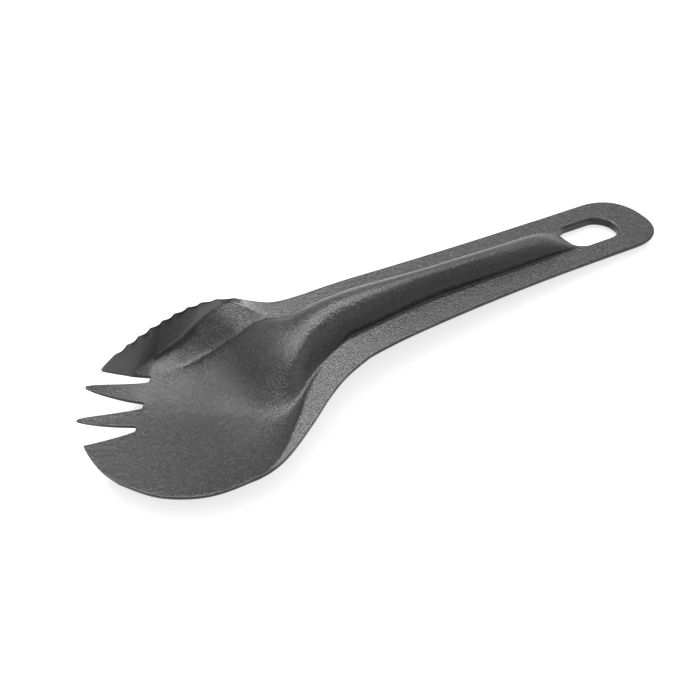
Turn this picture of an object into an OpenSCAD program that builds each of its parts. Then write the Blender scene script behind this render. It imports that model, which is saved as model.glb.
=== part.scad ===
// Spork, moulded in one piece: a shallow bowl with four tines on a slanted front,
// a serrated cutting edge on one side, and a hat-section handle that ends in a hang loop.
// Each node is one zone of the moulding. Zones meet face to face and never overlap.
// Lengths are in millimetres. +X runs towards the handle end, +Y is the serrated side, +Z is up.

/* [Overall] */
// Length from the foremost tine to the handle end
overall_length = 155; // [149:1:161]
// Reach of the plain rim from the handle's middle line
plain_reach = 29.6; // [28:0.1:31]
// Reach of the serrated rim from the handle's middle line
serrated_reach = 24.4; // [23.4:0.1:25.4]

/* [Walls] */
// Wall in the middle of the bowl and the rib
wall = 2.2; // [1.9:0.1:2.5]
// Wall along the rim and across the flanges
edge_wall = 1.2; // [1:0.1:1.4]
// Land left at the serrated edge
blade_wall = 0.5; // [0.4:0.05:0.7]

/* [Bowl] */
// Height of the rim at the tine tips
front_height = 6.8; // [6:0.1:7.6]
// Drop of the cutting bevel from the serrated rim to the bowl
bevel_drop = 4.3; // [3.7:0.1:4.9]

/* [Tines] */
// Width of each notch at its root
notch_width = 1.6; // [1.2:0.1:2.2]
// Width of the blunt end of an outer tine
tip_width = 0.6; // [0.4:0.05:1]

/* [Serrated edge] */
// Number of scallops along the cutting edge
tooth_count = 9; // [9:9:18]
// Depth of one scallop
tooth_depth = 0.55; // [0.3:0.05:0.8]

/* [Handle] */
// Half the width of the handle at the hang loop
handle_half_width = 10.6; // [10:0.1:11.2]
// Extra half width of the plain flange at the neck
plain_flare = 3.7; // [3:0.1:4.4]
// Extra half width of the serrated flange at the neck
serrated_flare = 1.7; // [1.2:0.1:2.2]
// Height of the rib above the flanges
rib_height = 4.9; // [4.2:0.1:5.6]
// Half the width of the rib at the neck
rib_neck_half = 6.3; // [5.7:0.1:6.9]
// Half the width of the rib at the hang loop
rib_end_half = 4.2; // [3.8:0.1:4.6]
// Fall of the handle from the neck to its end, per millimetre
handle_fall_share = 0.098; // [0.085:0.001:0.11]

/* [Hang loop] */
// Thickness of the loop
loop_wall = 2.2; // [1.8:0.1:2.6]
// Length of the slot, end to end
slot_length = 16.6; // [15:0.1:18]
// Width of the slot
slot_width = 9.2; // [8.2:0.1:10.2]
// Solid length between the slot and the handle end
slot_margin = 9.8; // [8.8:0.1:10.8]

/* [Hidden] */
body_colour = [0.30, 0.30, 0.30];
tine_colour = [0.36, 0.36, 0.36];
edge_colour = [0.44, 0.44, 0.44];
rib_colour = [0.40, 0.40, 0.40];
loop_colour = [0.33, 0.33, 0.33];

rows = 40;
handle_rows = 34;
tip_rows = 10;
tooth_rows = 6;
end_points = 40;

// Plan of the bowl. Each row of the bowl is a straight line from the plain side to the serrated side.
// The first row is the slanted line of the tine roots, the last one is the neck.
// Pairs are shares of the length and of the reach.
plain_rim_shares = [[0.0103, -0.459], [0.0419, -0.733], [0.0935, -0.932], [0.1548, -1], [0.2032, -0.973],
                    [0.2645, -0.814], [0.3097, -0.669], [0.3516, -0.561]];
serrated_side_shares = [[0.1742, 0.857], [0.2, 0.885], [0.2258, 0.904], [0.2516, 0.893], [0.2774, 0.873],
                        [0.3032, 0.82], [0.332, 0.328], [0.3613, 0.283]];
// The plain flange opens out of the rim: shares of its width at the neck, from its start to the neck
plain_flange_shares = [[0, 0], [-0.075, 0.125], [-0.2375, 0.3625], [-0.275, 0.6125],
                       [-0.1875, 0.825], [0, 1]];
serrated_rim_shares = [[0.3077, 0.84], [0.3387, 0.615], [0.3645, 0.537]];
front_rim_shares = [[0.0019, -0.02], [0, -0.155], [0.0019, -0.304], [0.0103, -0.459]];
neck_share = 0.4;
flange_knot = 3;
blade_knot = 5;
knots = len(plain_rim_shares);

// Tine roots and tips
notch_shares = [0.4315, 0.622, 0.8277];
tip_shares = [[0.0148, 0.311], [0.0523, 0.639], [0.0845, 0.758]];
tip_share = 0.05;
tip_power = 1.6;
tip_wall_share = 0.75;
tine_curve = 1.25;
root_steps = 10;
tine_steps = 6;
inner_steps = 4;
bevel_steps = 3;

// Teeth along the serrated rim
tooth_start_share = 0.1155;
tooth_end_share = 0.3077;
tooth_start = tooth_start_share * overall_length;
tooth_end = tooth_end_share * overall_length;
rim_line_shares = [[0.0845, 0.758], [0.1155, 0.857], [0.1387, 0.906], [0.1594, 0.939], [0.1806, 0.967],
                   [0.2019, 0.984], [0.2245, 1], [0.2465, 0.996], [0.269, 0.971], [0.2897, 0.918],
                   [0.3077, 0.84]];
tip_teeth = 4;
blade_teeth = 5;
tooth_pitch = (tooth_end - tooth_start) / tooth_count;
blade_start = lerp(tooth_start, tooth_end, tip_teeth / (tip_teeth + blade_teeth));

// Heights
neck_end_share = 0.484;
neck_end = neck_end_share * overall_length;
front_rise_share = 0.05;

// Floor of the bowl, as values at the knots of the plan. A crease runs along the floor below the serrated
// side, and the root of the rib rises beside it. Heights of the crease are shares of the rim's height,
// the crease and the crest of the root are shares of the row.
crease_height_shares = [0.32, 0.265, 0.24, 0.36, 0.57, 0.8, 1, 1, 1];
crease_end_shares = [0.85, 0.828, 0.79, 1, 1, 1];
crest_shares = [0.9, 0.9, 0.9, 0.88, 0.82, 0.76, 0.68, 0.6, 0.5];
hump_shares = [0, 0.01, 0.05, 0.1, 0.14, 0.3, 0.6, 0.87, 1];
sag_shares = [0, 0.01, 0.03, 0.06, 0.1, 0.17, 0.12, 0.04, 0];
sag_bowl_share = 1 / 3;
sag_neck_share = 0.12;
sag_turn_share = 0.35;
sag_run_share = 0.3;
bevel_shares = [1, 1, 0.95, 0.72, 0.46, 0.2, 0, 0, 0];
held_share = 0.94;
neck_turn_share = 0.75;
root_turn_share = 0.6;
bowl_spread_share = 0.25;
root_spread_share = 0.5;
spread_turn_share = 0.45;
spread_run_share = 0.25;
dish_power = 1.5;
dish_bowl_share = 0.75;
dish_turn_share = 0.5;
dish_run_share = 0.25;
root_power = 2;
rib_power = 0.5;
rib_taper_share = 0.43;
rib_sink_share = 0.36;
rib_fade_share = 0.88;
rib_close_share = 0.13;
thicken_share = 0.6;
station_power = 1.3;
wall_run_share = 4;
wall_run = wall_run_share * edge_wall;

// Handle
neck = neck_share * overall_length;
slot_gap = 0.6;
loop_start = overall_length - slot_margin - slot_length - slot_gap;
end_run_share = 1.085;
end_run = end_run_share * handle_half_width;
end_power = 2.35;

function lerp(a, b, t) = a + (b - a) * t;
function clamp(t) = min(1, max(0, t));
function ease(t) = clamp(t) * clamp(t) * (3 - 2 * clamp(t));

// Smooth curve through a list of points, t from 0 to 1
function knot(p, i) = p[min(len(p) - 1, max(0, i))];
function bend(a, b, c, d, t) =
    b + 0.5 * t * (c - a + t * (2 * a - 5 * b + 4 * c - d + t * (3 * (b - c) + d - a)));
function curve(p, t) =
    let (s = clamp(t) * (len(p) - 1), i = min(len(p) - 2, floor(s)))
    bend(knot(p, i - 1), knot(p, i), knot(p, i + 1), knot(p, i + 2), s - i);

// Height of the rim and of the flanges' upper face
function handle_z(x) = loop_wall + handle_fall_share * (overall_length - x);
function edge_z(x) =
    let (t = clamp(x / neck_end))
    x >= neck_end ? handle_z(x) :
    front_height * (2 * t * t * t - 3 * t * t + 1)
    + neck_end * front_rise_share * (t * t * t - 2 * t * t + t)
    + handle_z(neck_end) * (3 * t * t - 2 * t * t * t)
    - neck_end * handle_fall_share * (t * t * t - t * t);

function plan(p, reach) = [for (q = p) [q[0] * overall_length, q[1] * reach]];
serrated_side = concat(plan(serrated_side_shares, serrated_reach), [[neck, rib_neck_half]]);
plain_rim = concat(plan(plain_rim_shares, plain_reach), [[neck, -handle_half_width - plain_flare]]);
plain_flange_width = handle_half_width + plain_flare - rib_neck_half;
plain_flange_offset = [for (q = plain_flange_shares) q * plain_flange_width];
function plain_side(u) =
    curve(plain_rim, u) + curve(plain_flange_offset, (u * knots - flange_knot) / (knots - flange_knot));
serrated_rim = concat(plan(serrated_rim_shares, serrated_reach),
                      [[neck, handle_half_width + serrated_flare]]);
front_rim = plan(front_rim_shares, plain_reach);
rim_line = plan(rim_line_shares, serrated_reach);
tips = plan(tip_shares, serrated_reach);

// Columns of the bowl, with a column at both sides of every notch
root_length = norm(serrated_side[0] - plain_rim[0]);
notch_half = notch_width / root_length / 2;
function steps(a, b, n) = [for (k = [0:n - 1]) lerp(a, b, k / n)];
columns = concat(steps(0, notch_shares[0] - notch_half, root_steps),
                 [notch_shares[0] - notch_half],
                 steps(notch_shares[0] + notch_half, notch_shares[1] - notch_half, tine_steps),
                 [notch_shares[1] - notch_half],
                 steps(notch_shares[1] + notch_half, notch_shares[2] - notch_half, tine_steps),
                 [notch_shares[2] - notch_half],
                 steps(notch_shares[2] + notch_half, 1, inner_steps), [1]);
last = len(columns) - 1;
plain_outer_columns = [0, root_steps];
plain_inner_columns = [root_steps + 1, root_steps + 1 + tine_steps];
serrated_inner_columns = [root_steps + 2 + tine_steps, root_steps + 2 + 2 * tine_steps];
serrated_outer_columns = [last - inner_steps, last];
crease_column = last - inner_steps;
root_crease = columns[crease_column];
crease_shares = concat([root_crease, root_crease, root_crease], crease_end_shares);

// Serrated outline, as a point at a given distance along the handle's line
function scallop(x) = tooth_depth * abs(sin(180 * (x - tooth_start) / tooth_pitch));
function rim_point(x) = [x, lookup(x, rim_line) - (x > tooth_start ? scallop(x) : 0)];

// One row of the shell: its upper points, then its lower points, measured along the row
function row_wall(v, length) = lerp(edge_wall, wall, clamp(min(v, 1 - v) * length / wall_run));
function lower(top, j, length) =
    let (d = top[min(last, j + 1)] - top[max(0, j - 1)], n = norm(d),
         t = row_wall(top[j][0] / length, length))
    j == 0 || j == last ? [top[j][0], top[j][1] - edge_wall] :
    [top[j][0] + t * d[1] / n, top[j][1] - t * d[0] / n];
function place(a, b, q) = let (d = (b - a) / norm(b - a)) [a[0] + d[0] * q[0], a[1] + d[1] * q[0], q[1]];
function shell_row(a, b, top) =
    [[for (q = top) place(a, b, q)], [for (j = [0:last]) place(a, b, lower(top, j, norm(b - a)))]];

// Rows of the bowl. One column keeps to the crease, and the others share out the row.
function serrated_z(u, x) = edge_z(x) - bevel_drop * curve(bevel_shares, u);
function crease_share(u) = min(1, curve(crease_shares, u));
function crease_z(u, x) = edge_z(x) * min(1, curve(crease_height_shares, u));
function held_column(line, j) = j < crease_column ? columns[j] / root_crease * line :
    lerp(line, 1, (columns[j] - root_crease) / (1 - root_crease));
function column_share(u, j) =
    lerp(held_column(min(held_share, crease_share(u)), j), columns[j],
         ease((u - neck_turn_share) / (1 - neck_turn_share)));
function hump(u, s) =
    let (crest = curve(crest_shares, u),
         spread = lerp(bowl_spread_share, root_spread_share,
                       ease((u - spread_turn_share) / spread_run_share)),
         q = (s - crest) / (s > crest ? 1 - crest : spread),
         turn = pow(ease((u - root_turn_share) / (1 - root_turn_share)), 2))
    curve(hump_shares, u) * pow(max(0, 1 - q * q), s > crest ? rib_power : lerp(root_power, rib_power, turn));
function dish(s, u) =
    let (reach = lerp(dish_bowl_share, 1, ease((u - dish_turn_share) / dish_run_share)))
    pow(max(0, 1 - s / reach), dish_power);
function dip(s, u) =
    let (p = lerp(sag_bowl_share, sag_neck_share, ease((u - sag_turn_share) / sag_run_share)))
    s / p * pow((1 - s) / (1 - p), 1 / p - 1);
function bowl_top(u, a, b, v) =
    let (line = crease_share(u), s = v / line,
         za = edge_z(a[0]), zb = serrated_z(u, b[0]), zl = crease_z(u, b[0]))
    v > line ? lerp(zl, zb, (v - line) / (1 - line)) :
    zl + (za - zl) * dish(s, u) - za * curve(sag_shares, u) * dip(s, u) + rib_height * hump(u, s);
function bowl_row(i) =
    let (u = i / rows, a = plain_side(u), b = curve(serrated_side, u), n = norm(b - a))
    shell_row(a, b, [for (j = [0:last]) let (v = column_share(u, j)) [v * n, bowl_top(u, a, b, v)]]);
bowl_rows = [for (i = [0:rows]) bowl_row(i)];
root_top = bowl_rows[0][0];
root_low = bowl_rows[0][1];

// Rows of the rib
function rib_half(t) = rib_end_half + (rib_neck_half - rib_end_half) * (1 - ease(t / rib_taper_share));
function rib_rise(t) =
    rib_height * (1 - rib_sink_share * t * t)
    * sqrt(max(0, 1 - pow(max(0, t - rib_fade_share) / rib_close_share, 2)));
function station(i) = 1 - pow(1 - i / handle_rows, station_power);
function station_x(i) = lerp(neck, loop_start, station(i));
function rib_row(i) =
    let (t = station(i), x = station_x(i), h = rib_half(t), z = edge_z(x))
    shell_row([x, -h], [x, h],
              [for (v = columns) [2 * h * v, z + rib_rise(t) * sqrt(max(0, 1 - pow(2 * v - 1, 2)))]]);

// Shell between two grids of points, rows along +X and columns along +Y
function flat_list(g) = [for (r = g) for (p = r) p];
function far_apart(p, f) = p[f[0]] != p[f[1]] && p[f[1]] != p[f[2]] && p[f[2]] != p[f[0]];
function both(a, b, c, d) = [[a, b, c], [a, c, d]];
module shell(tops, lows) {
    r = len(tops);
    c = len(tops[0]);
    n = r * c;
    p = concat(flat_list(tops), flat_list(lows));
    f = concat(
        [for (i = [0:r - 2]) for (j = [0:c - 2])
            each both(i * c + j, i * c + j + 1, i * c + c + j + 1, i * c + c + j)],
        [for (i = [0:r - 2]) for (j = [0:c - 2])
            each both(n + i * c + j, n + i * c + c + j, n + i * c + c + j + 1, n + i * c + j + 1)],
        [for (i = [0:r - 2]) each both(n + i * c, i * c, i * c + c, n + i * c + c)],
        [for (i = [0:r - 2])
            each both(n + i * c + c - 1, n + i * c + 2 * c - 1, i * c + 2 * c - 1, i * c + c - 1)],
        [for (j = [0:c - 2]) each both(n + j + 1, j + 1, j, n + j)],
        [for (j = [0:c - 2])
            each both(n + n - c + j, n - c + j, n - c + j + 1, n + n - c + j + 1)]);
    polyhedron(p, [for (t = f) if (far_apart(p, t)) t], convexity = 8);
}

// A tine, from its tip to its root on the bowl's first row
function tine_grid(ends, tops, lows, share, edge_a, edge_b, tip_z) =
    [for (k = [0:len(edge_a) - 1])
        let (s = ends[k])
        [for (j = [0:len(tops) - 1])
            let (p = lerp(edge_a[k], edge_b[k], share[j]),
                 z = tops[j][2] + (tip_z - tops[j][2]) * pow(1 - s, tine_curve),
                 d = (lows[j] - tops[j]) * lerp(tip_wall_share, 1, s),
                 top = s == 1 ? tops[j] : [p[0], p[1], z])
            [top, s == 1 ? lows[j] : top + d]]];
function part_of(grid, k) = [for (r = grid) [for (p = r) p[k]]];
function pick(list, range) = [for (j = [range[0]:range[1]]) list[j]];
function flat_point(p) = [p[0], p[1]];
function shares(list) =
    let (n = len(list) - 1)
    [for (p = list)
        norm(flat_point(p) - flat_point(list[0])) / norm(flat_point(list[n]) - flat_point(list[0]))];

module inner_tine(range, tip) {
    tops = pick(root_top, range);
    a = flat_point(tops[0]);
    b = flat_point(tops[len(tops) - 1]);
    ends = [for (k = [0:tip_rows]) pow(k / tip_rows, tip_power)];
    spread = [for (k = [0:tip_rows]) lerp(tip_share, 1, k / tip_rows) / 2];
    middle = [for (s = ends) lerp(tip, (a + b) / 2, s)];
    grid = tine_grid(ends, tops, pick(root_low, range), shares(tops),
                     [for (k = [0:tip_rows]) middle[k] - (b - a) * spread[k]],
                     [for (k = [0:tip_rows]) middle[k] + (b - a) * spread[k]], edge_z(tip[0]));
    shell(part_of(grid, 0), part_of(grid, 1));
}

module bowl() {
    color(body_colour)
    shell([for (r = bowl_rows) r[0]], [for (r = bowl_rows) r[1]]);
}

module plain_outer_tine() {
    tops = pick(root_top, plain_outer_columns);
    tip = front_rim[0];
    ends = [for (k = [0:2 * tip_rows]) k / tip_rows / 2];
    grid = tine_grid(ends, tops, pick(root_low, plain_outer_columns), shares(tops),
                     [for (s = ends) curve(front_rim, s)],
                     [for (s = ends) lerp(tip + [0, tip_width], flat_point(tops[len(tops) - 1]), s)],
                     edge_z(tip[0]));
    color(tine_colour)
    shell(part_of(grid, 0), part_of(grid, 1));
}

module plain_inner_tine() {
    color(tine_colour)
    inner_tine(plain_inner_columns, tips[0]);
}

module serrated_inner_tine() {
    color(tine_colour)
    inner_tine(serrated_inner_columns, tips[1]);
}

// The bevel's end face, shared by the outer tine and the cutting edge
bevel_foot = root_top[last];
bevel_end = concat(rim_point(blade_start), edge_z(blade_start));
bevel_tops = [for (k = [1:bevel_steps]) lerp(bevel_foot, bevel_end, k / bevel_steps)];
bevel_lows = [for (k = [1:bevel_steps])
    bevel_tops[k - 1] - [0, 0, lerp(edge_wall, blade_wall, k / bevel_steps)]];

module serrated_outer_tine() {
    tops = concat(pick(root_top, serrated_outer_columns), bevel_tops);
    lows = concat(pick(root_low, serrated_outer_columns), bevel_lows);
    tip = tips[2];
    lead = [for (k = [0:tooth_rows]) lerp(tip[0], tooth_start, k / tooth_rows)];
    n = tooth_rows * tip_teeth;
    line = concat(lead, [for (k = [1:n]) lerp(tooth_start, blade_start, k / n)]);
    ends = [for (x = line) (x - tip[0]) / (blade_start - tip[0])];
    grid = tine_grid(ends, tops, lows, shares(tops),
                     [for (s = ends) lerp(tip - [0, tip_width], flat_point(tops[0]), s)],
                     [for (x = line) rim_point(x)], edge_z(tip[0]));
    color(tine_colour)
    shell(part_of(grid, 0), part_of(grid, 1));
}

// Rows from the bowl's rim: two stations for every row of the bowl
blade_rows = rows / knots * blade_knot;
function foot(k) = let (i = floor(k / 2)) k % 2 == 0 ? bowl_rows[i][0][last] :
    lerp(bowl_rows[i][0][last], bowl_rows[i + 1][0][last], 0.5);
module serrated_edge() {
    n = 2 * blade_rows;
    outer = [for (k = [0:n]) let (x = lerp(blade_start, tooth_end, k / n)) concat(rim_point(x), edge_z(x))];
    tops = [for (k = [0:n]) [for (j = [0:bevel_steps]) lerp(foot(k), outer[k], j / bevel_steps)]];
    lows = [for (r = tops) [for (j = [0:bevel_steps])
        r[j] - [0, 0, lerp(edge_wall, blade_wall, j / bevel_steps)]]];
    color(edge_colour)
    shell(tops, lows);
}

// A flange, from pairs of inner and outer points. It thickens towards the hang loop.
function flange_wall(i) =
    lerp(edge_wall, loop_wall, ease((station(i) - thicken_share) / (1 - thicken_share)));
module flange(bowl_part, handle_part) {
    tops = concat(bowl_part, handle_part);
    walls = concat([for (p = bowl_part) edge_wall], [for (i = [1:handle_rows]) flange_wall(i)]);
    shell(tops, [for (i = [0:len(tops) - 1]) [for (p = tops[i]) p - [0, 0, walls[i]]]]);
}
function handle_half(i, flare) = handle_half_width + flare * pow(1 - station(i), 2);

module plain_side_flange() {
    first = rows / knots * flange_knot;
    n = rows - first;
    bowl_part = [for (i = [0:n])
        let (q = curve(plain_rim, (first + i) / rows)) [concat(q, edge_z(q[0])), bowl_rows[first + i][0][0]]];
    handle_part = [for (i = [1:handle_rows])
        let (x = station_x(i), z = edge_z(x))
        [[x, -handle_half(i, plain_flare), z], [x, -rib_half(station(i)), z]]];
    color(edge_colour)
    flange(bowl_part, handle_part);
}

module serrated_side_flange() {
    first = blade_rows;
    n = rows - first;
    bowl_part = [for (i = [0:n])
        let (q = curve(serrated_rim, i / n)) [bowl_rows[first + i][0][last], concat(q, edge_z(q[0]))]];
    handle_part = [for (i = [1:handle_rows])
        let (x = station_x(i), z = edge_z(x))
        [[x, rib_half(station(i)), z], [x, handle_half(i, serrated_flare), z]]];
    color(edge_colour)
    flange(bowl_part, handle_part);
}

module handle_rib() {
    r = [for (i = [0:handle_rows]) rib_row(i)];
    color(rib_colour)
    shell([for (q = r) q[0]], [for (q = r) q[1]]);
}

// Flat loop round the slot, cut from an upright outline by two sloping planes
function end_point(k) =
    let (a = 180 * k / end_points - 90)
    [overall_length - end_run + end_run * pow(cos(a), 2 / end_power),
     sign(a) * handle_half_width * pow(abs(sin(a)), 2 / end_power)];
module loop_outline() {
    polygon(concat([[loop_start, -handle_half_width]],
                   [for (k = [0:end_points]) end_point(k)], [[loop_start, handle_half_width]]));
}
module slot() {
    r = slot_width / 2;
    b = overall_length - slot_margin - r;
    a = overall_length - slot_margin - slot_length + r;
    for (x = [a, b])
        translate([x, 0])
        circle(r, $fn = 48);
    translate([a, -r])
    square([b - a, slot_width]);
}
module hang_loop() {
    tall = 2 * (front_height + rib_height);
    color(loop_colour)
    intersection() {
        linear_extrude(tall)
        difference() {
            loop_outline();
            slot();
        }
        translate([overall_length, 0, loop_wall])
        rotate([0, atan(handle_fall_share), 0])
        translate([-overall_length, -overall_length / 2, -loop_wall * cos(atan(handle_fall_share))])
        cube([2 * overall_length, overall_length, loop_wall * cos(atan(handle_fall_share))]);
    }
}

// Placed with the middle of its outline over the origin and its lowest point on the ground
translate([-overall_length / 2, (plain_reach - serrated_reach) / 2, 0]) {
    bowl();
    plain_outer_tine();
    plain_inner_tine();
    serrated_inner_tine();
    serrated_outer_tine();
    serrated_edge();
    plain_side_flange();
    serrated_side_flange();
    handle_rib();
    hang_loop();
}
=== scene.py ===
# %% [markdown]
# # A spork, moulded in one shot
#
# The object is a camping spork in dark grey plastic: a shallow bowl whose slanted front is cut into
# four tines, a scalloped cutting edge on the far side, and a handle with a hollow half-round rib
# between two flat flanges, ending in a flat loop with a slot.
#
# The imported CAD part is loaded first, as a fixed frame. Every length below is in millimetres in the
# drawing's own plan, x from the foremost tine to the handle end and y from the handle's middle line,
# and is turned into metres in the shared frame at one place only.

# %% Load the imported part
import math

import bpy
import numpy as np
from mathutils import Matrix, Vector


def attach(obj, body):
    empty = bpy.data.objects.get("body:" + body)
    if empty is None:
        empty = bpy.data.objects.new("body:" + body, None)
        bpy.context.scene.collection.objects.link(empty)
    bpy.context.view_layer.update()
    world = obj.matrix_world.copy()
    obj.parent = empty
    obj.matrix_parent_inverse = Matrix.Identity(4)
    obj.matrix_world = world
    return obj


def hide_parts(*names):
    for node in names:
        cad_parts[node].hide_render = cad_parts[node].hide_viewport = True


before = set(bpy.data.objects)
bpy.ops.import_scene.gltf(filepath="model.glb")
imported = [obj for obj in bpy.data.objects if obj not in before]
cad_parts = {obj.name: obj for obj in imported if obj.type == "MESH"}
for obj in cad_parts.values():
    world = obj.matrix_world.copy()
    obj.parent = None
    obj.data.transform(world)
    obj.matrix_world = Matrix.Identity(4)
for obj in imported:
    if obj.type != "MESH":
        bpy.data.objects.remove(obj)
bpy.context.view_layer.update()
NODES = sorted(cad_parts)
print("nodes:", ", ".join(NODES))

# %% [markdown]
# ## The plan of the moulding
#
# A designer of such a spork draws the outline first. A spline through a few knots gives a fair rim with
# no flat spots, which a polygon of many measured points would not. Catmull-Rom is used because it goes
# through its knots, so each knot is a place on the real rim.

# %% Sizes and smooth curves
LENGTH = 155.0
PLAIN_REACH = 29.6
SERRATED_REACH = 24.4
NECK = 62.0
HANDLE_HALF = 10.6
PLAIN_FLARE = 3.7
SERRATED_FLARE = 1.7
RIB_HEIGHT = 4.9
RIB_NECK_HALF = 6.3
RIB_END_HALF = 4.2
LOOP_START = 128.0


def lerp(a, b, t):
    return a + (b - a) * t


def clamp(t):
    return min(1.0, max(0.0, t))


def ease(t):
    t = clamp(t)
    return t * t * (3 - 2 * t)


def curve(knots, t):
    """Point at t, from 0 to 1, on a smooth curve through the knots."""
    knots = [np.asarray(k, float) for k in knots]
    s = clamp(t) * (len(knots) - 1)
    i = min(len(knots) - 2, int(s))
    t = s - i
    b, c = knots[i], knots[i + 1]
    a = knots[max(0, i - 1)]
    d = knots[min(len(knots) - 1, i + 2)]
    return b + 0.5 * t * (c - a + t * (2 * a - 5 * b + 4 * c - d + t * (3 * (b - c) + d - a)))


def plan(shares, reach):
    """Places in the plan from shares of the length and of one side's reach."""
    return [np.array((x * LENGTH, y * reach)) for x, y in shares]


print("spork:", LENGTH, "mm long,", PLAIN_REACH + SERRATED_REACH, "mm across the two reaches")

# %% The lines of the plan
plain_rim = plan([(.0103, -.459), (.0419, -.733), (.0935, -.932), (.1548, -1), (.2032, -.973),
                  (.2645, -.814), (.3097, -.669), (.3516, -.561)], PLAIN_REACH)
plain_rim.append(np.array((NECK, -HANDLE_HALF - PLAIN_FLARE)))
flange_opening = [np.array(p) * (HANDLE_HALF + PLAIN_FLARE - RIB_NECK_HALF) for p in
                  ((0, 0), (-.075, .125), (-.2375, .3625), (-.275, .6125), (-.1875, .825), (0, 1))]
serrated_side = plan([(.1742, .857), (.2, .885), (.2258, .904), (.2516, .893), (.2774, .873),
                      (.3032, .82), (.332, .328), (.3613, .283)], SERRATED_REACH)
serrated_side.append(np.array((NECK, RIB_NECK_HALF)))
serrated_rim = plan([(.3077, .84), (.3387, .615), (.3645, .537)], SERRATED_REACH)
serrated_rim.append(np.array((NECK, HANDLE_HALF + SERRATED_FLARE)))
front_rim = plan([(.0019, -.02), (0, -.155), (.0019, -.304), (.0103, -.459)], PLAIN_REACH)
cutting_rim = plan([(.0845, .758), (.1155, .857), (.1387, .906), (.1594, .939), (.1806, .967),
                    (.2019, .984), (.2245, 1), (.2465, .996), (.269, .971), (.2897, .918),
                    (.3077, .84)], SERRATED_REACH)
KNOTS = 8
FLANGE_KNOT = 3
BLADE_KNOT = 5


def plain_side(u):
    """Where the bowl ends on the plain side: the rim itself, then the inner line of the flange."""
    opened = curve(flange_opening, (u * KNOTS - FLANGE_KNOT) / (KNOTS - FLANGE_KNOT))
    return curve(plain_rim, u) + opened


widths = [float(np.linalg.norm(curve(serrated_side, u) - plain_side(u))) for u in np.linspace(0, 1, 41)]
print("bowl: widest row", round(max(widths), 2), "mm")

# %% [markdown]
# ## Heights
#
# On a flat table the spork stands on the bottom of its bowl and on the end of its handle. The rim rises
# gently from the tines and then falls in a straight line along the handle, so one Hermite curve and one
# straight line give the height of every edge.

# %% Heights of the rim and of the bowl's floor
LOOP_WALL = 2.2
HANDLE_FALL = 0.098
FRONT_HEIGHT = 6.8
FRONT_RISE = 0.05
NECK_END = 75.0
BOWL_WALL = 2.2
EDGE_WALL = 0.85
BLADE_WALL = 0.25
BEVEL_DROP = 4.3
BEVEL_SHARES = (1.34, 1.34, 1.18, .76, .36, .14, 0, 0, 0)
CREASE_HEIGHT_SHARES = (.32, .265, .24, .37, .57, .8, 1, 1, 1)
CREASE_SHARES = (.857, .857, .857, .85, .828, .79, 1, 1, 1)
HUMP_SHARES = (0, .01, .05, .1, .16, .32, .58, .86, 1)
CREST_SHARES = (.9, .9, .89, .83, .72, .6, .54, .51, .5)
SAG_SHARES = (0, .01, .03, .07, .13, .16, .09, .03, 0)


def handle_z(x):
    return LOOP_WALL + HANDLE_FALL * (LENGTH - x)


def edge_z(x):
    if x >= NECK_END:
        return handle_z(x)
    t = clamp(x / NECK_END)
    return (FRONT_HEIGHT * (2 * t**3 - 3 * t**2 + 1) + NECK_END * FRONT_RISE * (t**3 - 2 * t**2 + t)
            + handle_z(NECK_END) * (3 * t**2 - 2 * t**3) - NECK_END * HANDLE_FALL * (t**3 - t**2))


def along(values, u):
    """A share read from a table of shares at the plan's knots."""
    return float(curve([(v,) for v in values], u)[0])


print("rim height at tines, widest and neck:", [round(edge_z(x), 2) for x in (0, 25, NECK)])

# %% [markdown]
# ## A sheet that becomes a wall
#
# The real part is a plastic skin of nearly even thickness. So only its upper face is drawn, as patches of
# quads that share their border points, and the lower face and the edges follow from it. A small store
# hands out one number for each place, which joins the patches without any merging afterwards.

# %% Store for the upper face
points, walls, tooth_way, tooth_share, bevel_share = [], [], [], [], []
faces, place_of = [], {}


def point(p, wall, way=0.0, share=0.0, bevel=0.0):
    key = tuple(np.round(p, 3))
    if key not in place_of:
        place_of[key] = len(points)
        points.append(np.asarray(p, float))
        walls.append(wall)
        tooth_way.append(way)
        tooth_share.append(share)
        bevel_share.append(bevel)
    return place_of[key]


def facing(corner):
    """Normal of a quad, from its diagonals, or of a triangle, from its sides."""
    p = [points[i] for i in corner]
    if len(p) == 4:
        return np.cross(p[2] - p[0], p[3] - p[1])
    return np.cross(p[1] - p[0], p[2] - p[1])


def lay(rows):
    """Quads over a grid of point numbers, facing up. A repeated corner turns a quad into a triangle."""
    for low, high in zip(rows, rows[1:]):
        for k in range(len(low) - 1):
            corner = [low[k], high[k], high[k + 1], low[k + 1]]
            corner = [c for i, c in enumerate(corner) if c != corner[i - 1]]
            if len(set(corner)) >= 3:
                faces.append(corner if facing(corner)[2] >= 0 else corner[::-1])


# %% [markdown]
# ## The bowl and the root of the rib
#
# Each row of the bowl is a straight line in plan, from the plain side to the serrated side. The first row
# is the slanted line of the tine roots and the last one is the neck, so the rows turn through the slant
# as they go. Along a row the near wall falls from the rim and folds into a level floor. The floor ends at
# a crease below the serrated side, and a straight wall rises from there to the foot of the bevel.
#
# Two more terms make the neck. A dip hollows the floor, and moves towards the near flange as the bowl
# narrows. The rib rises out of the floor as a hump with a flat top, which steepens until it is a half
# ellipse. A sculpted surface would do, but a rule keeps the curvature even, and a change of one number
# moves the whole form. Extra columns sit close to each free edge and inside each notch, which later holds
# their rounding tight.

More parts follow.
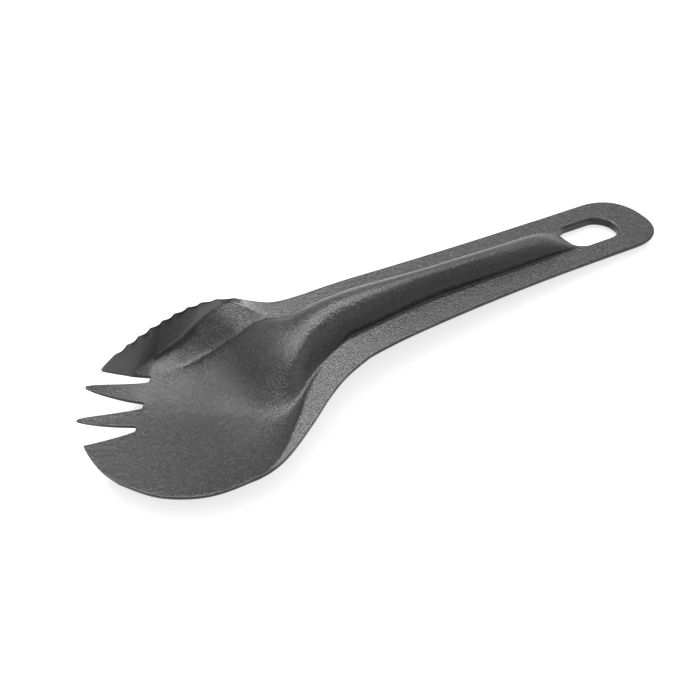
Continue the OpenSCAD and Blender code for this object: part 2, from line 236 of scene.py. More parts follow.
# %% Columns and rows of the bowl
NOTCH_SHARES = (.4315, .622, .8277)
NOTCH_WIDTH = 1.9
NOTCH_HOLD = 0.6
EDGE_HOLD = 0.7
PLAIN_TINE_STEPS, INNER_TINE_STEPS, SERRATED_TINE_STEPS = 9, 5, 4
root_length = float(np.linalg.norm(serrated_side[0] - plain_rim[0]))
half = NOTCH_WIDTH / root_length / 2
hold = EDGE_HOLD / root_length
n1, n2, n3 = NOTCH_SHARES
notch_ends = [n + half * np.array((-1, -NOTCH_HOLD, NOTCH_HOLD, 1)) for n in NOTCH_SHARES]
columns = np.concatenate([
    [0], np.linspace(hold, n1 - half - hold, PLAIN_TINE_STEPS), notch_ends[0],
    np.linspace(n1 + half + hold, n2 - half - hold, INNER_TINE_STEPS), notch_ends[1],
    np.linspace(n2 + half + hold, n3 - half - hold, INNER_TINE_STEPS), notch_ends[2],
    np.linspace(n3 + half + hold, 1 - hold, SERRATED_TINE_STEPS), [1]])
LAST = len(columns) - 1
round_columns = (1 - np.cos(np.pi * np.arange(LAST + 1) / LAST)) / 2
TOOTH_STEPS = 6
BLADE_TEETH = 5
TIP_TEETH = 4
BLADE_ROWS = TOOTH_STEPS * BLADE_TEETH
NECK_ROWS = 18
ROWS = BLADE_ROWS + NECK_ROWS
blade_u = BLADE_KNOT / KNOTS
row_u = np.concatenate([np.linspace(0, blade_u, BLADE_ROWS + 1),
                        np.linspace(blade_u, 1, NECK_ROWS + 1)[1:]])
FLANGE_ROW = int(np.argmin(abs(row_u - FLANGE_KNOT / KNOTS)))
print("bowl cage:", ROWS, "rows,", LAST, "columns")

# %% Lines that the bowl's rows keep to
crease_column = int(np.argmin(abs(columns - (n3 + half + hold))))
HELD_SHARE = 0.94
ROUND_FROM = 0.75


def shift(a, b, u, start, run):
    """From a to b, softly, while u goes over a run from its start."""
    return lerp(a, b, ease((u - start) / run))


def serrated_z(u, x):
    return edge_z(x) - BEVEL_DROP * along(BEVEL_SHARES, u)


def crease_share(u):
    """Where the floor breaks into the wall below the serrated side, as a share of the row."""
    return min(1, along(CREASE_SHARES, u))


def column_share(u, j):
    """Place of a column on its row. One column keeps to the crease, and the rest share the row out."""
    line, own = min(HELD_SHARE, crease_share(u)), columns[crease_column]
    held = columns[j] / own * line
    if j >= crease_column:
        held = lerp(line, 1, (columns[j] - own) / (1 - own))
    return shift(held, round_columns[j], u, ROUND_FROM, 1 - ROUND_FROM)


print("crease at shares", [round(crease_share(u), 3) for u in (0, .5, 1)])

# %% Rules for the height along a row
DISH_POWER = 1.15
FOLD = 0.14
WALL_REACH, REACH_TURN, REACH_RUN = 0.75, 0.5, 0.25
DIP_BOWL, DIP_NECK, DIP_TURN, DIP_RUN = 1 / 3, 0.1, 0.45, 0.3
HUMP_BOWL, HUMP_NECK, HUMP_TURN, HUMP_RUN = 0.3, 0.5, 0.45, 0.25
ELLIPSE = 0.5
SOFT_POWER, SOFT_FROM = 2, 0.6
FLAT_BOWL, FLAT_NECK = 4, 2


def dip(s, u):
    """A sag of depth 1 whose lowest place moves from the bowl's wall to the edge of the flange."""
    p = shift(DIP_BOWL, DIP_NECK, u, DIP_TURN, DIP_RUN)
    return s / p * ((1 - s) / (1 - p))**(1 / p - 1)


def hinge(t):
    """A straight wall for t above 0 that bends into a level floor below it."""
    return (t + math.hypot(t, FOLD)) / (1 + math.hypot(1, FOLD))


def hump(s, u):
    """The rib's share of its height at share s of the floor."""
    crest = along(CREST_SHARES, u)
    if s > crest:
        width, power, flat = 1 - crest, ELLIPSE, FLAT_NECK
    else:
        width = shift(HUMP_BOWL, HUMP_NECK, u, HUMP_TURN, HUMP_RUN)
        power = lerp(SOFT_POWER, ELLIPSE, ease((u - SOFT_FROM) / (1 - SOFT_FROM))**2)
        flat = shift(FLAT_BOWL, FLAT_NECK, u, SOFT_FROM, 1 - SOFT_FROM)
    return along(HUMP_SHARES, u) * max(0, 1 - abs((s - crest) / width)**flat)**power


def bowl_top(u, a, b, v):
    """Height at share v of the row from a on the plain side to b on the serrated side."""
    line = crease_share(u)
    za, zb = edge_z(a[0]), serrated_z(u, b[0])
    zl = edge_z(b[0]) * min(1, along(CREASE_HEIGHT_SHARES, u))
    if v > line + 1e-9:
        return lerp(zl, zb, (v - line) / (1 - line))
    s = v / line
    reach = shift(WALL_REACH, 1, u, REACH_TURN, REACH_RUN)
    dish = zl + (za - zl) * hinge(1 - s / reach)**DISH_POWER
    return dish - za * along(SAG_SHARES, u) * dip(s, u) + RIB_HEIGHT * hump(s, u)


print("hump at the neck, over a row:", [round(hump(s, 1), 2) for s in (0, .25, .5, .75, 1)])

# %% Upper face of the bowl
FRONT_RUN = 45.0
WALL_RUN = 6 * EDGE_WALL
bowl = []
for u in row_u:
    a, b = plain_side(u), curve(serrated_side, u)
    row = []
    for j in range(LAST + 1):
        v = column_share(u, j)
        rim_gap = min(min(v, 1 - v) * float(np.linalg.norm(b - a)), u * FRONT_RUN)
        wall = lerp(EDGE_WALL, BOWL_WALL, clamp(rim_gap / WALL_RUN))
        row.append(point((*lerp(a, b, v), bowl_top(u, a, b, v)), wall))
    bowl.append(row)
lay(bowl)
print("bowl:", len(faces), "quads, lowest", round(min(p[2] for p in points), 2), "mm")

# %% [markdown]
# ## Tines
#
# A tine is the bowl's first row carried forward to a narrow, thinner tip. The two inner tines are leaves,
# with rows that crowd towards the tip, so that their sides swell out of it. The outer one on the plain
# side is a broad sector between the front rim and its notch. All four rise from the bowl's floor to the
# height of the rim.

# %% Inner tines and the broad outer tine
TIP_SHARES = ((.0148, .311), (.0523, .639), (.0845, .758))
tips = plan(TIP_SHARES, SERRATED_REACH)
TIP_WIDTH = 0.6
TINE_CURVE = 1.25
TIP_SHARE = 0.05
TIP_POWER = 1.6
TIP_WALL = 0.4
first_of = [0] + [int(np.argmin(abs(columns - (n + half)))) for n in NOTCH_SHARES]
last_of = [int(np.argmin(abs(columns - (n - half)))) for n in NOTCH_SHARES] + [LAST]


def tine_row(root, edge_a, edge_b, s, tip_z):
    """One row of a tine at share s of the way from its tip to its root."""
    p0, p1 = points[root[0]], points[root[-1]]
    span = np.linalg.norm((p1 - p0)[:2])
    row = []
    for i in root:
        share = np.linalg.norm((points[i] - p0)[:2]) / span
        z = points[i][2] + (tip_z - points[i][2]) * (1 - s)**TINE_CURVE
        row.append(point((*lerp(edge_a, edge_b, share), z), walls[i] * lerp(TIP_WALL, 1, s)))
    return row


STEPS = 14
SECTOR_STEPS = 20
for which, tip in ((1, tips[0]), (2, tips[1])):
    root = bowl[0][first_of[which]:last_of[which] + 1]
    a, b = points[root[0]][:2], points[root[-1]][:2]
    rows = []
    for k in range(STEPS):
        s = (k / STEPS)**TIP_POWER
        middle, spread = lerp(tip, (a + b) / 2, s), (b - a) * lerp(TIP_SHARE, 1, k / STEPS) / 2
        rows.append(tine_row(root, middle - spread, middle + spread, s, edge_z(tip[0])))
    lay(rows + [root])
root = bowl[0][first_of[0]:last_of[0] + 1]
tip, corner = front_rim[0], points[root[-1]][:2]
rows = [tine_row(root, curve(front_rim, s), lerp(tip + (0, TIP_WIDTH), corner, s), s, edge_z(tip[0]))
        for s in np.arange(SECTOR_STEPS) / SECTOR_STEPS]
lay(rows + [root])
print("tines:", len(faces), "quads so far")

# %% [markdown]
# ## The cutting bevel
#
# Along the far side the inner face is cut back to a flat bevel that ends in a thin edge. On the outer
# tine the bevel takes the whole tip, and the bowl's floor starts as a wedge behind it. The bevel, and the
# flange that follows it along the handle, are one long strip of quads.
#
# The strip is drawn with a smooth rim here. It only notes how many teeth it has passed at each station
# and how much of a tooth each point takes, and a node tree cuts the scallops later.

# %% Teeth, the cutting rim and the rows of the strip
TOOTH_SHARES = (.1155, .3077)
TOOTH_START, TOOTH_END = (share * LENGTH for share in TOOTH_SHARES)
TOOTH_COUNT = TIP_TEETH + BLADE_TEETH
PITCH = (TOOTH_END - TOOTH_START) / TOOTH_COUNT
BLADE_START = TOOTH_START + TIP_TEETH * PITCH
STRIP = (0, .12, .66, .84, .93, 1)
STRIP_TOOTH = (0, 0, 0, .05, .55, 1)
NEWTON_STEPS, NEWTON_STEP = 4, 1e-4
rim_x = np.array(cutting_rim)[:, 0]


def rim_at(x):
    """The cutting rim before its teeth: a fair line through the plan's knots."""
    t = np.interp(x, rim_x, np.linspace(0, 1, len(rim_x)))
    for _ in range(NEWTON_STEPS):
        here, ahead_x = curve(cutting_rim, t)[0], curve(cutting_rim, t + NEWTON_STEP)[0]
        t -= (here - x) / max(1e-6, ahead_x - here) * NEWTON_STEP
    return np.array((x, curve(cutting_rim, clamp(t))[1]))


def strip_row(inner, outer, wall_in, wall_out, x=None, bevel=1.0):
    """A row of the strip from an inner point number to an outer place."""
    way = 0.0 if x is None or x < TOOTH_START else (x - TOOTH_START) / PITCH
    start = points[inner]
    row = [inner]
    for share, tooth in list(zip(STRIP, STRIP_TOOTH))[1:]:
        row.append(point(lerp(start, np.asarray(outer), share), lerp(wall_in, wall_out, share),
                         way, tooth if x is not None else 0.0, bevel))
    return row


print("teeth:", TOOTH_COUNT, "at a pitch of", round(PITCH, 2), "mm")

# %% Outer tine on the serrated side
WEDGE = np.array((18.9, 18.6))
WEDGE_STEP = 10
FOOT_BEVEL = 0.5
root = bowl[0][first_of[3]:]
corner, foot = points[root[0]], points[root[-1]]
tip = tips[2]
lead = np.linspace(tip[0], TOOTH_START, TOOTH_STEPS + 1)
toothed = np.linspace(TOOTH_START, BLADE_START, TOOTH_STEPS * TIP_TEETH + 1)
stations = np.concatenate([lead, toothed[1:]])
last = len(stations) - 1
tip_point = np.array((tip[0], tip[1] - TIP_WIDTH))
wedge_share = float(np.linalg.norm(WEDGE - tip_point) / np.linalg.norm(corner[:2] - tip_point))


def notch_side(s):
    """The tine's edge along the notch, at share s from tip to root, with its height."""
    z = corner[2] + (edge_z(tip[0]) - corner[2]) * (1 - s)**TINE_CURVE
    return np.array((*lerp(tip_point, corner[:2], s), z))


strip, floor_rows = [], []
for k, x in enumerate(stations[:-1]):
    s_rim = k / last
    thin = EDGE_WALL * lerp(TIP_WALL, 1, s_rim)
    if k <= WEDGE_STEP:
        inner = point(notch_side(wedge_share * k / WEDGE_STEP), thin, bevel=1.0)
    else:
        t = (k - WEDGE_STEP) / (last - WEDGE_STEP)
        edge = notch_side(lerp(wedge_share, 1, t))
        inner = point(lerp(notch_side(wedge_share), foot, t), thin, bevel=FOOT_BEVEL)
        row = []
        for i in root[:-1]:
            share = np.linalg.norm((points[i] - corner)[:2]) / np.linalg.norm((foot - corner)[:2])
            row.append(point(lerp(edge, points[inner], share), thin))
        floor_rows.append(row + [inner])
    if k == WEDGE_STEP:
        floor_rows.append([inner] * len(root))
    strip.append(strip_row(inner, (*rim_at(x), edge_z(x)), thin, BLADE_WALL, x))
lay(floor_rows + [root])
print("outer tine:", len(strip), "stations, wedge at share", round(wedge_share, 3))

# %% [markdown]
# ## The serrated edge, the flanges and the rib
#
# Behind the tine the bevel follows the bowl row by row. Where the teeth stop, the same strip turns flat
# and becomes the flange of the handle. Each row of the handle is a hat: flange, half-round rib, flange.

# %% Serrated edge and the far flange along the bowl
EDGE_FADE, BEVEL_FADE = 4, 3
for i in range(ROWS + 1):
    u = row_u[i]
    if i <= BLADE_ROWS:
        x = lerp(BLADE_START, TOOTH_END, i / BLADE_ROWS)
        strip.append(strip_row(bowl[i][-1], (*rim_at(x), edge_z(x)), EDGE_WALL, BLADE_WALL, x))
    else:
        t = (i - BLADE_ROWS) / (ROWS - BLADE_ROWS)
        outer = curve(serrated_rim, t)
        strip.append(strip_row(bowl[i][-1], (*outer, edge_z(outer[0])), EDGE_WALL,
                               lerp(BLADE_WALL, EDGE_WALL, ease(EDGE_FADE * t)),
                               bevel=1 - ease(BEVEL_FADE * t)))
near = []
for i in range(FLANGE_ROW, ROWS + 1):
    outer = curve(plain_rim, row_u[i])
    if i == FLANGE_ROW:
        near.append([bowl[i][0]] * len(STRIP))
    else:
        near.append(strip_row(bowl[i][0], (*outer, edge_z(outer[0])), EDGE_WALL, EDGE_WALL,
                              bevel=0.0))
print("far strip:", len(strip), "rows; near flange:", len(near), "rows")

# %% Shape of the rib
RIB_TAPER = 0.43
RIB_SINK = 0.45
RIB_BEND = 0.86
RIB_DROP = 0.38
RIB_FLAT = 0.3
RIB_TURN = 0.6


def rib_half(t):
    return RIB_END_HALF + (RIB_NECK_HALF - RIB_END_HALF) * (1 - ease(t / RIB_TAPER))


def rib_rise(t):
    bend = max(0, t - RIB_BEND) / (1 - RIB_BEND)
    return RIB_HEIGHT * max(0, 1 - RIB_SINK * t * t - RIB_DROP * bend * bend)


def rib_profile(q, t):
    """A half ellipse whose top gets flatter towards the loop."""
    return max(0, 1 - q * q)**shift(ELLIPSE, RIB_FLAT, t, RIB_TURN, 1 - RIB_TURN)


print("rib: rise at neck, middle and loop", [round(rib_rise(t), 2) for t in (0, .5, 1)])

# %% Rib and flanges along the handle
HANDLE_ROWS = 40
ROW_CROWD = 1.3
RIB_WALL_RUN = 4
FLARE_POWER = 2
THICKEN = 0.6
rib = [bowl[-1]]
for i in range(1, HANDLE_ROWS + 1):
    t = 1 - (1 - i / HANDLE_ROWS)**ROW_CROWD
    x = lerp(NECK, LOOP_START, t)
    z, h = edge_z(x), rib_half(t)
    row = []
    for v in round_columns:
        rise = rib_rise(t) * rib_profile(2 * v - 1, t)
        wall = lerp(EDGE_WALL, BOWL_WALL, clamp(RIB_WALL_RUN * min(v, 1 - v)))
        row.append(point((x, lerp(-h, h, v), z + rise), wall))
    rib.append(row)
    flare = (1 - t)**FLARE_POWER
    wall = shift(EDGE_WALL, LOOP_WALL, t, THICKEN, 1 - THICKEN)
    far_y, near_y = HANDLE_HALF + SERRATED_FLARE * flare, -HANDLE_HALF - PLAIN_FLARE * flare
    strip.append(strip_row(row[-1], (x, far_y, z), wall, EDGE_WALL, bevel=0.0))
    near.append(strip_row(row[0], (x, near_y, z), wall, EDGE_WALL, bevel=0.0))
for patch in (strip, near, rib):
    lay(patch)
print("with the handle:", len(faces), "faces")

# %% [markdown]
# ## The hang loop
#
# The handle ends in a flat plate with a slot. A ring of quads round the slot suits it better than a plate
# with a hole cut by a boolean, because every edge gets the same clean border for its rounding. The ring's
# first points are the end row of the flanges and the rib, and the rest go round the handle's end.

# %% Ring round the slot
SLOT_WIDTH = 9.2
SLOT_ENDS = (128.8, 145.2)
END_RUN = 1.085 * HANDLE_HALF
END_POWER = 2.35
END_START = LENGTH - END_RUN
SIDE_POINTS, END_POINTS = 10, 33
TOUCH = 0.001
r = SLOT_WIDTH / 2
slot_a, slot_b = SLOT_ENDS[0] + r, SLOT_ENDS[1] - r
start_row = [*near[-1][::-1], *rib[-1][1:-1], *strip[-1]]
outline = []
for x in np.linspace(LOOP_START, END_START, SIDE_POINTS)[1:-1]:
    outline.append((x, HANDLE_HALF))
for a in np.linspace(90, -90, END_POINTS):
    c, s = math.cos(math.radians(a)), math.sin(math.radians(a))
    outline.append((END_START + END_RUN * max(0, c)**(2 / END_POWER),
                    math.copysign(HANDLE_HALF * abs(s)**(2 / END_POWER), s)))
for x in np.linspace(END_START, LOOP_START, SIDE_POINTS)[1:-1]:
    outline.append((x, -HANDLE_HALF))


def slot_point(p):
    """The slot's edge facing a point of the outline: straight ahead of the rib, shared out elsewhere."""
    x, y = p
    side = math.copysign(1, y)
    if x <= LOOP_START + TOUCH:
        first = slot_a - math.sqrt(r * r - min(abs(y), RIB_END_HALF)**2)
        x = lerp(first, slot_a, max(0, abs(y) - RIB_END_HALF) / (HANDLE_HALF - RIB_END_HALF))
        return np.array((x, side * math.sqrt(max(0, r * r - (slot_a - x)**2))))
    if x <= END_START:
        x = lerp(slot_a, slot_b, (x - LOOP_START) / (END_START - LOOP_START))
        return np.array((x, side * r))
    turn = math.atan2(abs(y) / HANDLE_HALF, (x - LENGTH + END_RUN) / END_RUN)
    return np.array((slot_b + r * math.cos(turn), side * r * math.sin(turn)))


print("outline:", len(outline), "points; slot from", SLOT_ENDS[0], "to", SLOT_ENDS[1], "mm")

# %% Plate between the outline and the slot
RING = (0, .16, .4, .68, .92, 1)
RIM_SHARE = 0.4
ring = []
for i in start_row + [None] * len(outline):
    k = len(ring) - len(start_row)
    p = points[i][:2] if i is not None else np.array(outline[k])
    q = slot_point(p)
    first = i if i is not None else point((*p, handle_z(p[0])), EDGE_WALL)
    row = [first]
    lift = points[first][2] - handle_z(p[0])
    for share in RING[1:]:
        place = lerp(p, q, share)
        sunk = rib_rise((place[0] - NECK) / (LOOP_START - NECK)) / rib_rise(1)
        row.append(point((*place, handle_z(place[0]) + lift * sunk),
                         lerp(EDGE_WALL, LOOP_WALL, clamp(share / RIM_SHARE))))
    ring.append(row)
lay(ring + [ring[0]])
print("upper face:", len(points), "points,", len(faces), "faces")

# %% [markdown]
# ## The lower face and the edges
#
# The lower face is the upper one moved down its own normals by the wall, which is thin along every rim.
# The loop's plate goes straight down, because normals that turn at the rib's end would make it fold. At a
# free edge the lower face goes down and a little inwards, like the draft of a mould, and in the slot it
# stays upright. Every border of the sheet gets a band of three quads, whose outer two are narrow: with the
# close columns above and below, they keep the rounded edge small when the mesh is subdivided.

# %% Normals and borders of the sheet
UNDERCUT = 0.2
UNDERCUT_REACH = 0.55
SLOT_MARGIN = 0.01
top = np.array(points)
normal = np.zeros_like(top)
for f in faces:
    normal[f] += facing(f)
normal /= np.linalg.norm(normal, axis=1)[:, None]
normal[[i for row in ring for i in row[1:]]] = (0, 0, 1)
sides = dict.fromkeys((a, b) for f in faces for a, b in zip(f, f[1:] + f[:1]))
border = [(a, b) for a, b in sides if (b, a) not in sides]
edge_points = {i for pair in border for i in pair}
print("border:", len(border), "edges; thinnest wall", round(min(walls), 3), "mm")

# %% Lower points
inward = np.zeros_like(top)
for a, b in border:
    x, y, _ = top[b] - top[a]
    for i in (a, b):
        inward[i] += np.array((-y, x, 0)) / math.hypot(x, y)
inward /= np.maximum(1e-6, np.linalg.norm(inward, axis=1))[:, None]
room = {i: UNDERCUT * walls[i] for i in edge_points}
for a, b in sides:
    for i, j in ((a, b), (b, a)):
        if i in edge_points and j not in edge_points:
            gap = float(np.dot(top[j] - top[i], inward[i]))
            room[i] = min(room[i], max(0, UNDERCUT_REACH * gap))
low = top - normal * np.array(walls)[:, None]
for i in edge_points:
    x, y = top[i][:2]
    in_slot = math.hypot(x - np.clip(x, slot_a, slot_b), y) < r + SLOT_MARGIN
    low[i] = top[i] + (0, 0, -walls[i]) + (0 if in_slot else room[i]) * inward[i]
print("lower face: lowest", round(float(low[:, 2].min()), 2), "mm")

# %% Closed cage of the moulding
BAND = (.28, .72)
count = len(top)
cage = np.concatenate([top, low])
band = {}
extra = []
for i in sorted(edge_points):
    band[i] = (count * 2 + len(extra), count * 2 + len(extra) + 1)
    extra += [lerp(top[i], low[i], share) for share in BAND]
cage = np.concatenate([cage, extra])
all_faces = faces + [[i + count for i in f[::-1]] for f in faces]
for a, b in border:
    levels_a = (a, *band[a], a + count)
    levels_b = (b, *band[b], b + count)
    for k in range(3):
        all_faces.append([levels_b[k], levels_a[k], levels_a[k + 1], levels_b[k + 1]])
owner = list(range(count)) * 2 + [i for i in sorted(edge_points) for _ in range(2)]
print("cage:", len(cage), "points,", len(all_faces), "faces")

# %% Mesh in the shared frame, with the teeth and the bevel as attributes
PLACE = np.array((-LENGTH / 2, (PLAIN_REACH - SERRATED_REACH) / 2, 0))
MM_PER_M = 1000
mesh = bpy.data.meshes.new("moulding_cage")
mesh.from_pydata(((cage + PLACE) / MM_PER_M).tolist(), [], all_faces)
mesh.update()
for name, values in (("tooth_way", tooth_way), ("tooth_share", tooth_share),
                     ("bevel_share", bevel_share)):
    layer = mesh.attributes.new(name, "FLOAT", "POINT")
    layer.data.foreach_set("value", [values[i] for i in owner])
print("attributes:", "tooth_way to", round(max(tooth_way), 2), "teeth")

# %% [markdown]
# ## Scallops cut by a node tree
#
# The teeth repeat along the edge by one rule, so a Geometry Nodes tree cuts them: each point moves inwards
# by the tooth's depth times the absolute sine of the teeth passed so far, which gives round hollows with
# sharp points between them. The same tree then smooths the cage and hands out the finish. A modifier's
# inputs are set by their identifiers, before the object is looked at for the first time.

# %% Tree for the scallops and the smooth skin
TOOTH_DEPTH = 0.65
TOOTH_HEADING = (0.12, -1.0, 0.0)


def scallop_tree():
    tree = bpy.data.node_groups.new("scalloped_moulding", "GeometryNodeTree")
    face = tree.interface
    face.new_socket("Geometry", in_out="INPUT", socket_type="NodeSocketGeometry")
    for name, kind in (("Tooth depth", "NodeSocketFloat"), ("Inwards", "NodeSocketVector"),
                       ("Smooth steps", "NodeSocketInt"), ("Finish", "NodeSocketMaterial")):
        face.new_socket(name, in_out="INPUT", socket_type=kind)
    face.new_socket("Geometry", in_out="OUTPUT", socket_type="NodeSocketGeometry")

    def add(kind, links=(), **settings):
        node = tree.nodes.new(kind)
        for key, value in settings.items():
            setattr(node, key, value)
        for socket, source in links:
            if hasattr(source, "is_output"):
                tree.links.new(source, node.inputs[socket])
            else:
                node.inputs[socket].default_value = source
        return node

    def field(name):
        node = add("GeometryNodeInputNamedAttribute", [("Name", name)], data_type="FLOAT")
        return node.outputs["Attribute"]

    def reckon(kind, *values):
        return add("ShaderNodeMath", list(enumerate(values)), operation=kind).outputs[0]

    given = add("NodeGroupInput").outputs
    hollow = reckon("ABSOLUTE", reckon("SINE", reckon("MULTIPLY", field("tooth_way"), math.pi)))
    cut = reckon("MULTIPLY", hollow, field("tooth_share"))
    depth = reckon("MULTIPLY", cut, given["Tooth depth"])
    move = add("ShaderNodeVectorMath", [(0, given["Inwards"]), ("Scale", depth)], operation="SCALE")
    shape = given["Geometry"]
    for kind, socket, links in (
            ("GeometryNodeSetPosition", "Geometry", [("Offset", move.outputs[0])]),
            ("GeometryNodeSubdivisionSurface", "Mesh", [("Level", given["Smooth steps"])]),
            ("GeometryNodeSetShadeSmooth", "Geometry", []),
            ("GeometryNodeRealizeInstances", "Geometry", []),
            ("GeometryNodeSetMaterial", "Geometry", [("Material", given["Finish"])])):
        shape = add(kind, [(socket, shape), *links]).outputs[0]
    add("NodeGroupOutput", [("Geometry", shape)])
    return tree


tree = scallop_tree()
print("tree:", len(tree.nodes), "nodes")

# %% [markdown]
# ## Shader maths as plain expressions
#
# A finish is a short formula: a base, plus mottling, plus specks. Nodes wired by hand hide that, so
# one small class wraps a socket, and its operators add the Math nodes.

# %% A socket that can be reckoned with
class Value:
    def __init__(self, tree, socket):
        self.tree, self.socket = tree, socket

    def node(self, kind, settings=None, sockets=None, output=0):
        """Any other node: its settings first, then the values or links of its sockets."""
        made = self.tree.nodes.new(kind)
        for key, value in (settings or {}).items():
            if key == "stops":
                while len(made.color_ramp.elements) < len(value):
                    made.color_ramp.elements.new(.5)
                for element, (place, shade) in zip(made.color_ramp.elements, value):
                    element.position, element.color = place, (shade, shade, shade, 1)
            else:
                setattr(made, key, value)
        for key, value in (sockets or {}).items():
            if isinstance(value, Value):
                self.tree.links.new(value.socket, made.inputs[key])
            else:
                made.inputs[key].default_value = value
        return Value(self.tree, made.outputs[output])

    def math(self, kind, a, b):
        return self.node("ShaderNodeMath", {"operation": kind}, {0: a, 1: b})

    def __add__(self, other):
        return self.math("ADD", self, other)

    def __radd__(self, other):
        return self.math("ADD", other, self)

    def __sub__(self, other):
        return self.math("SUBTRACT", self, other)

    def __rsub__(self, other):
        return self.math("SUBTRACT", other, self)

    def __mul__(self, other):
        return self.math("MULTIPLY", self, other)

    def __rmul__(self, other):
        return self.math("MULTIPLY", other, self)


# %% [markdown]
# ## Dark grey moulded plastic
#
# The plastic looks like a filled one: a fine matt grain with pale specks, a little mottled where the
# melt flowed. The grain is a bump on Object coordinates, at the scale of a spark-eroded mould, and it also
# varies the colour and the roughness. The bump does most of the scattering, so the roughness itself can
# stay low. The cutting bevel comes from a smoother part of the mould, so its grain is weaker and its
# pale specks fewer. Its colour is also made paler, as painted light for the light that the bevel
# catches where it faces the front.

# %% Finish of the moulding
GRAIN_SCALE, COARSE_SCALE, FLOW_SCALE = 2600.0, 900.0, 55.0
SPECK_STOPS = ((.60, 0), (.74, 1))
# The bevel's own addition to the colour is painted light: it lifts the bevel for the light it catches where
# it faces the front.
BASE_SHADE, COARSE_SHADE, FLOW_SHADE, SPECK_SHADE, BEVEL_PAINTED_LIGHT = .014, .018, .01, .05, .045
BEVEL_SPECK_LOSS, BEVEL_GRAIN_LOSS = .6, .65
ROUGHNESS, ROUGHNESS_SPREAD = .2, .10
COARSE_HEIGHT, GRAIN_HEIGHT_M = .6, .0001
SPECULAR = .3


def grained_plastic():
    material = bpy.data.materials.new("grained_grey_plastic")
    material.use_nodes = True
    tree = material.node_tree
    skin = tree.nodes["Principled BSDF"]
    skin.inputs["Specular IOR Level"].default_value = SPECULAR
    start = Value(tree, skin.outputs[0])
    where = start.node("ShaderNodeTexCoord", output="Object")
    bevel = start.node("ShaderNodeAttribute", {"attribute_name": "bevel_share"}, output="Fac")

    def noise(scale, detail, **more):
        sockets = {"Vector": where, "Scale": scale, "Detail": detail, **more}
        return start.node("ShaderNodeTexNoise", {}, sockets)

    grain = noise(GRAIN_SCALE, 2.0, Roughness=.6)
    coarse = noise(COARSE_SCALE, 2.0)
    flow = noise(FLOW_SCALE, 3.0)
    speck = start.node("ShaderNodeValToRGB", {"stops": SPECK_STOPS}, {"Fac": grain})
    # The bevel's term at the end is painted light, a paler colour for the light on the front-facing bevel.
    shade = (BASE_SHADE + COARSE_SHADE * (coarse - .5) + FLOW_SHADE * (flow - .5)
             + SPECK_SHADE * speck * (1 - BEVEL_SPECK_LOSS * bevel) + BEVEL_PAINTED_LIGHT * bevel)
    colour = start.node("ShaderNodeCombineColor", {}, {"Red": shade, "Green": shade, "Blue": shade})
    tree.links.new(colour.socket, skin.inputs["Base Color"])
    rough = ROUGHNESS + ROUGHNESS_SPREAD * (coarse - .5)
    tree.links.new(rough.socket, skin.inputs["Roughness"])
    height = (grain + COARSE_HEIGHT * coarse) * (1 - BEVEL_GRAIN_LOSS * bevel)
    bump = start.node("ShaderNodeBump", {}, {"Height": height, "Strength": 1.0, "Distance": GRAIN_HEIGHT_M})
    tree.links.new(bump.socket, skin.inputs["Normal"])
    return material


plastic = grained_plastic()
print("finish:", plastic.name, len(plastic.node_tree.nodes), "nodes")

# %% [markdown]
# ## One plain mesh for the frame
#
# The tree's result is turned into a plain mesh, because the frame and the export want real faces. The
# piece stands for all ten zones of the CAD part, which are one moulding on the real object.

# %% Finished moulding
shape = bpy.data.objects.new("moulding_cage", mesh)
bpy.context.scene.collection.objects.link(shape)
modifier = shape.modifiers.new("scallops", "NODES")
modifier.node_group = tree
one_mm = Vector(TOOTH_HEADING).normalized() * .001
wanted = {"Tooth depth": TOOTH_DEPTH, "Inwards": one_mm, "Smooth steps": 1, "Finish": plastic}
for item in tree.interface.items_tree:
    if item.in_out == "INPUT" and item.name in wanted:
        modifier[item.identifier] = wanted[item.name]
whole = bpy.data.meshes.new_from_object(shape.evaluated_get(bpy.context.evaluated_depsgraph_get()))
bpy.data.objects.remove(shape)
moulding = bpy.data.objects.new("moulding", whole)
bpy.context.scene.collection.objects.link(moulding)
whole.name = "moulding"
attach(moulding, "root")
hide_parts(*NODES)
triangles = sum(len(p.vertices) - 2 for p in whole.polygons)
print("moulding:", len(whole.vertices), "points,", triangles, "triangles")

# %% [markdown]
# ## Floor, light and camera
#
# The picture is a plain studio shot on white. A long soft strip stands behind the object, about 50 degrees
# up, so that level faces mirror it softly while tilted ones stay dark. A weaker square light above the
# front keeps the shadow on the floor thin, and the world gives an even pale fill. The floor is white to
# the camera and still takes the object's shadow.

# %% Floor
def shown(start):
    """1 for a ray from the camera or from a mirror-like or clear surface, 0 for the rest."""
    path = start.tree.nodes.new("ShaderNodeLightPath")
    seen, glossy, clear = (Value(start.tree, path.outputs[f"Is {kind} Ray"])
                           for kind in ("Camera", "Glossy", "Transmission"))
    return seen.math("MAXIMUM", seen, seen.math("MAXIMUM", glossy, clear))


FLOOR_SHADE, FLOOR_ROUGHNESS = .82, .9
GLOW, GLOW_SHARE = 1.7, .42


def white_floor():
    material = bpy.data.materials.new("white_floor")
    material.use_nodes = True
    tree = material.node_tree
    skin = tree.nodes["Principled BSDF"]
    skin.inputs["Base Color"].default_value = (FLOOR_SHADE, FLOOR_SHADE, FLOOR_SHADE, 1)
    skin.inputs["Roughness"].default_value = FLOOR_ROUGHNESS
    skin.inputs["Specular IOR Level"].default_value = 0
    start = Value(tree, skin.outputs[0])
    glow = start.node("ShaderNodeEmission", {}, {"Color": (1, 1, 1, 1), "Strength": GLOW})
    both = start.node("ShaderNodeMixShader", {}, {0: GLOW_SHARE * shown(start), 1: start, 2: glow})
    tree.links.new(both.socket, tree.nodes["Material Output"].inputs["Surface"])
    return material


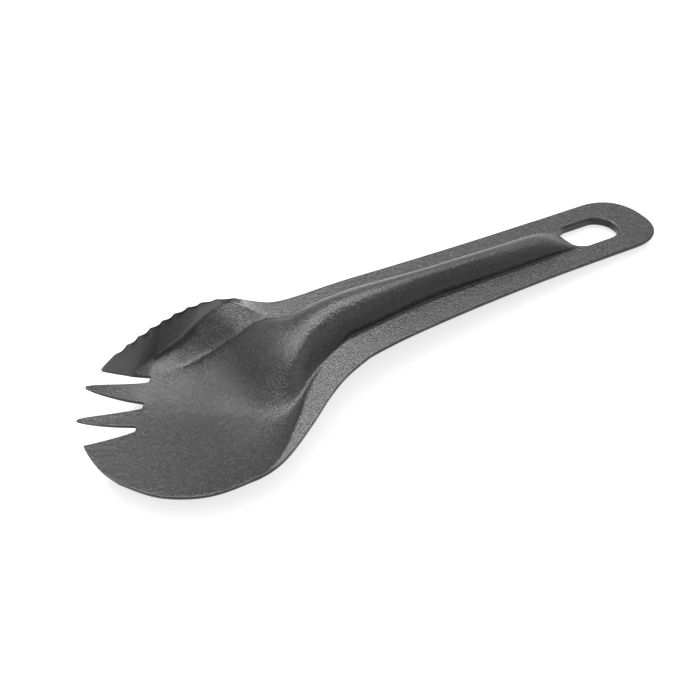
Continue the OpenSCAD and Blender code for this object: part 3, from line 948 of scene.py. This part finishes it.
FLOOR_HALF, FLOOR_Z = 1.6, -.00002
floor_mesh = bpy.data.meshes.new("floor")
corners = [(x * FLOOR_HALF, y * FLOOR_HALF, FLOOR_Z) for x, y in ((-1, -1), (1, -1), (1, 1), (-1, 1))]
floor_mesh.from_pydata(corners, [], [(0, 1, 2, 3)])
floor = bpy.data.objects.new("floor", floor_mesh)
bpy.context.scene.collection.objects.link(floor)
floor_mesh.materials.append(white_floor())
print("floor:", 2 * FLOOR_HALF, "m square")

# %% World
FILL = .4
world = bpy.data.worlds.new("studio")
bpy.context.scene.world = world
world.use_nodes = True
back = world.node_tree.nodes["Background"]
start = Value(world.node_tree, back.outputs[0])
strength = FILL + (1 - FILL) * shown(start)
world.node_tree.links.new(strength.socket, back.inputs["Strength"])
back.inputs["Color"].default_value = (1, 1, 1, 1)
print("world: fill", FILL, "and white where it is seen")

# %% Lights
def soft_light(name, place, target, size, power):
    lamp = bpy.data.lights.new(name, "AREA")
    lamp.shape = "RECTANGLE"
    lamp.size, lamp.size_y = size
    lamp.energy = power
    holder = bpy.data.objects.new(name, lamp)
    holder.location = place
    holder.rotation_euler = (Vector(target) - Vector(place)).to_track_quat("-Z", "Y").to_euler()
    bpy.context.scene.collection.objects.link(holder)
    return holder


soft_light("back_light", place=(.16, .60, .77), target=(0, 0, 0), size=(1.1, .17), power=12.0)
soft_light("top_light", place=(-.15, -.4, .85), target=(0, 0, 0), size=(1.1, 1.1), power=7.0)
print("lights:", len(bpy.data.lights))

# %% Camera
AZIMUTH, ELEVATION, ROLL = map(math.radians, (32.616, 40.735, -1.527))
CAMERA_PLACE = (-.1323155, -.1856521, .1928363)
SENSOR_MM, FOCAL_PX, PICTURE_PX = 36, 1293.55, 700
level = math.cos(ELEVATION)
ahead = Vector((math.sin(AZIMUTH) * level, math.cos(AZIMUTH) * level, -math.sin(ELEVATION)))
right = Vector((math.cos(AZIMUTH), -math.sin(AZIMUTH), 0))
up = right.cross(ahead)
c, s = math.cos(ROLL), math.sin(ROLL)
right, up = c * right + s * up, -s * right + c * up
lens = bpy.data.cameras.new("camera")
lens.sensor_width = SENSOR_MM
lens.lens = SENSOR_MM * FOCAL_PX / PICTURE_PX
lens.clip_start = .01
camera = bpy.data.objects.new("camera", lens)
turned = Matrix((right, up, -ahead)).transposed().to_4x4()
camera.matrix_world = Matrix.Translation(CAMERA_PLACE) @ turned
bpy.context.scene.collection.objects.link(camera)
bpy.context.scene.camera = camera
bpy.context.scene.view_settings.view_transform = "Standard"
print("camera:", [round(c, 4) for c in camera.location])
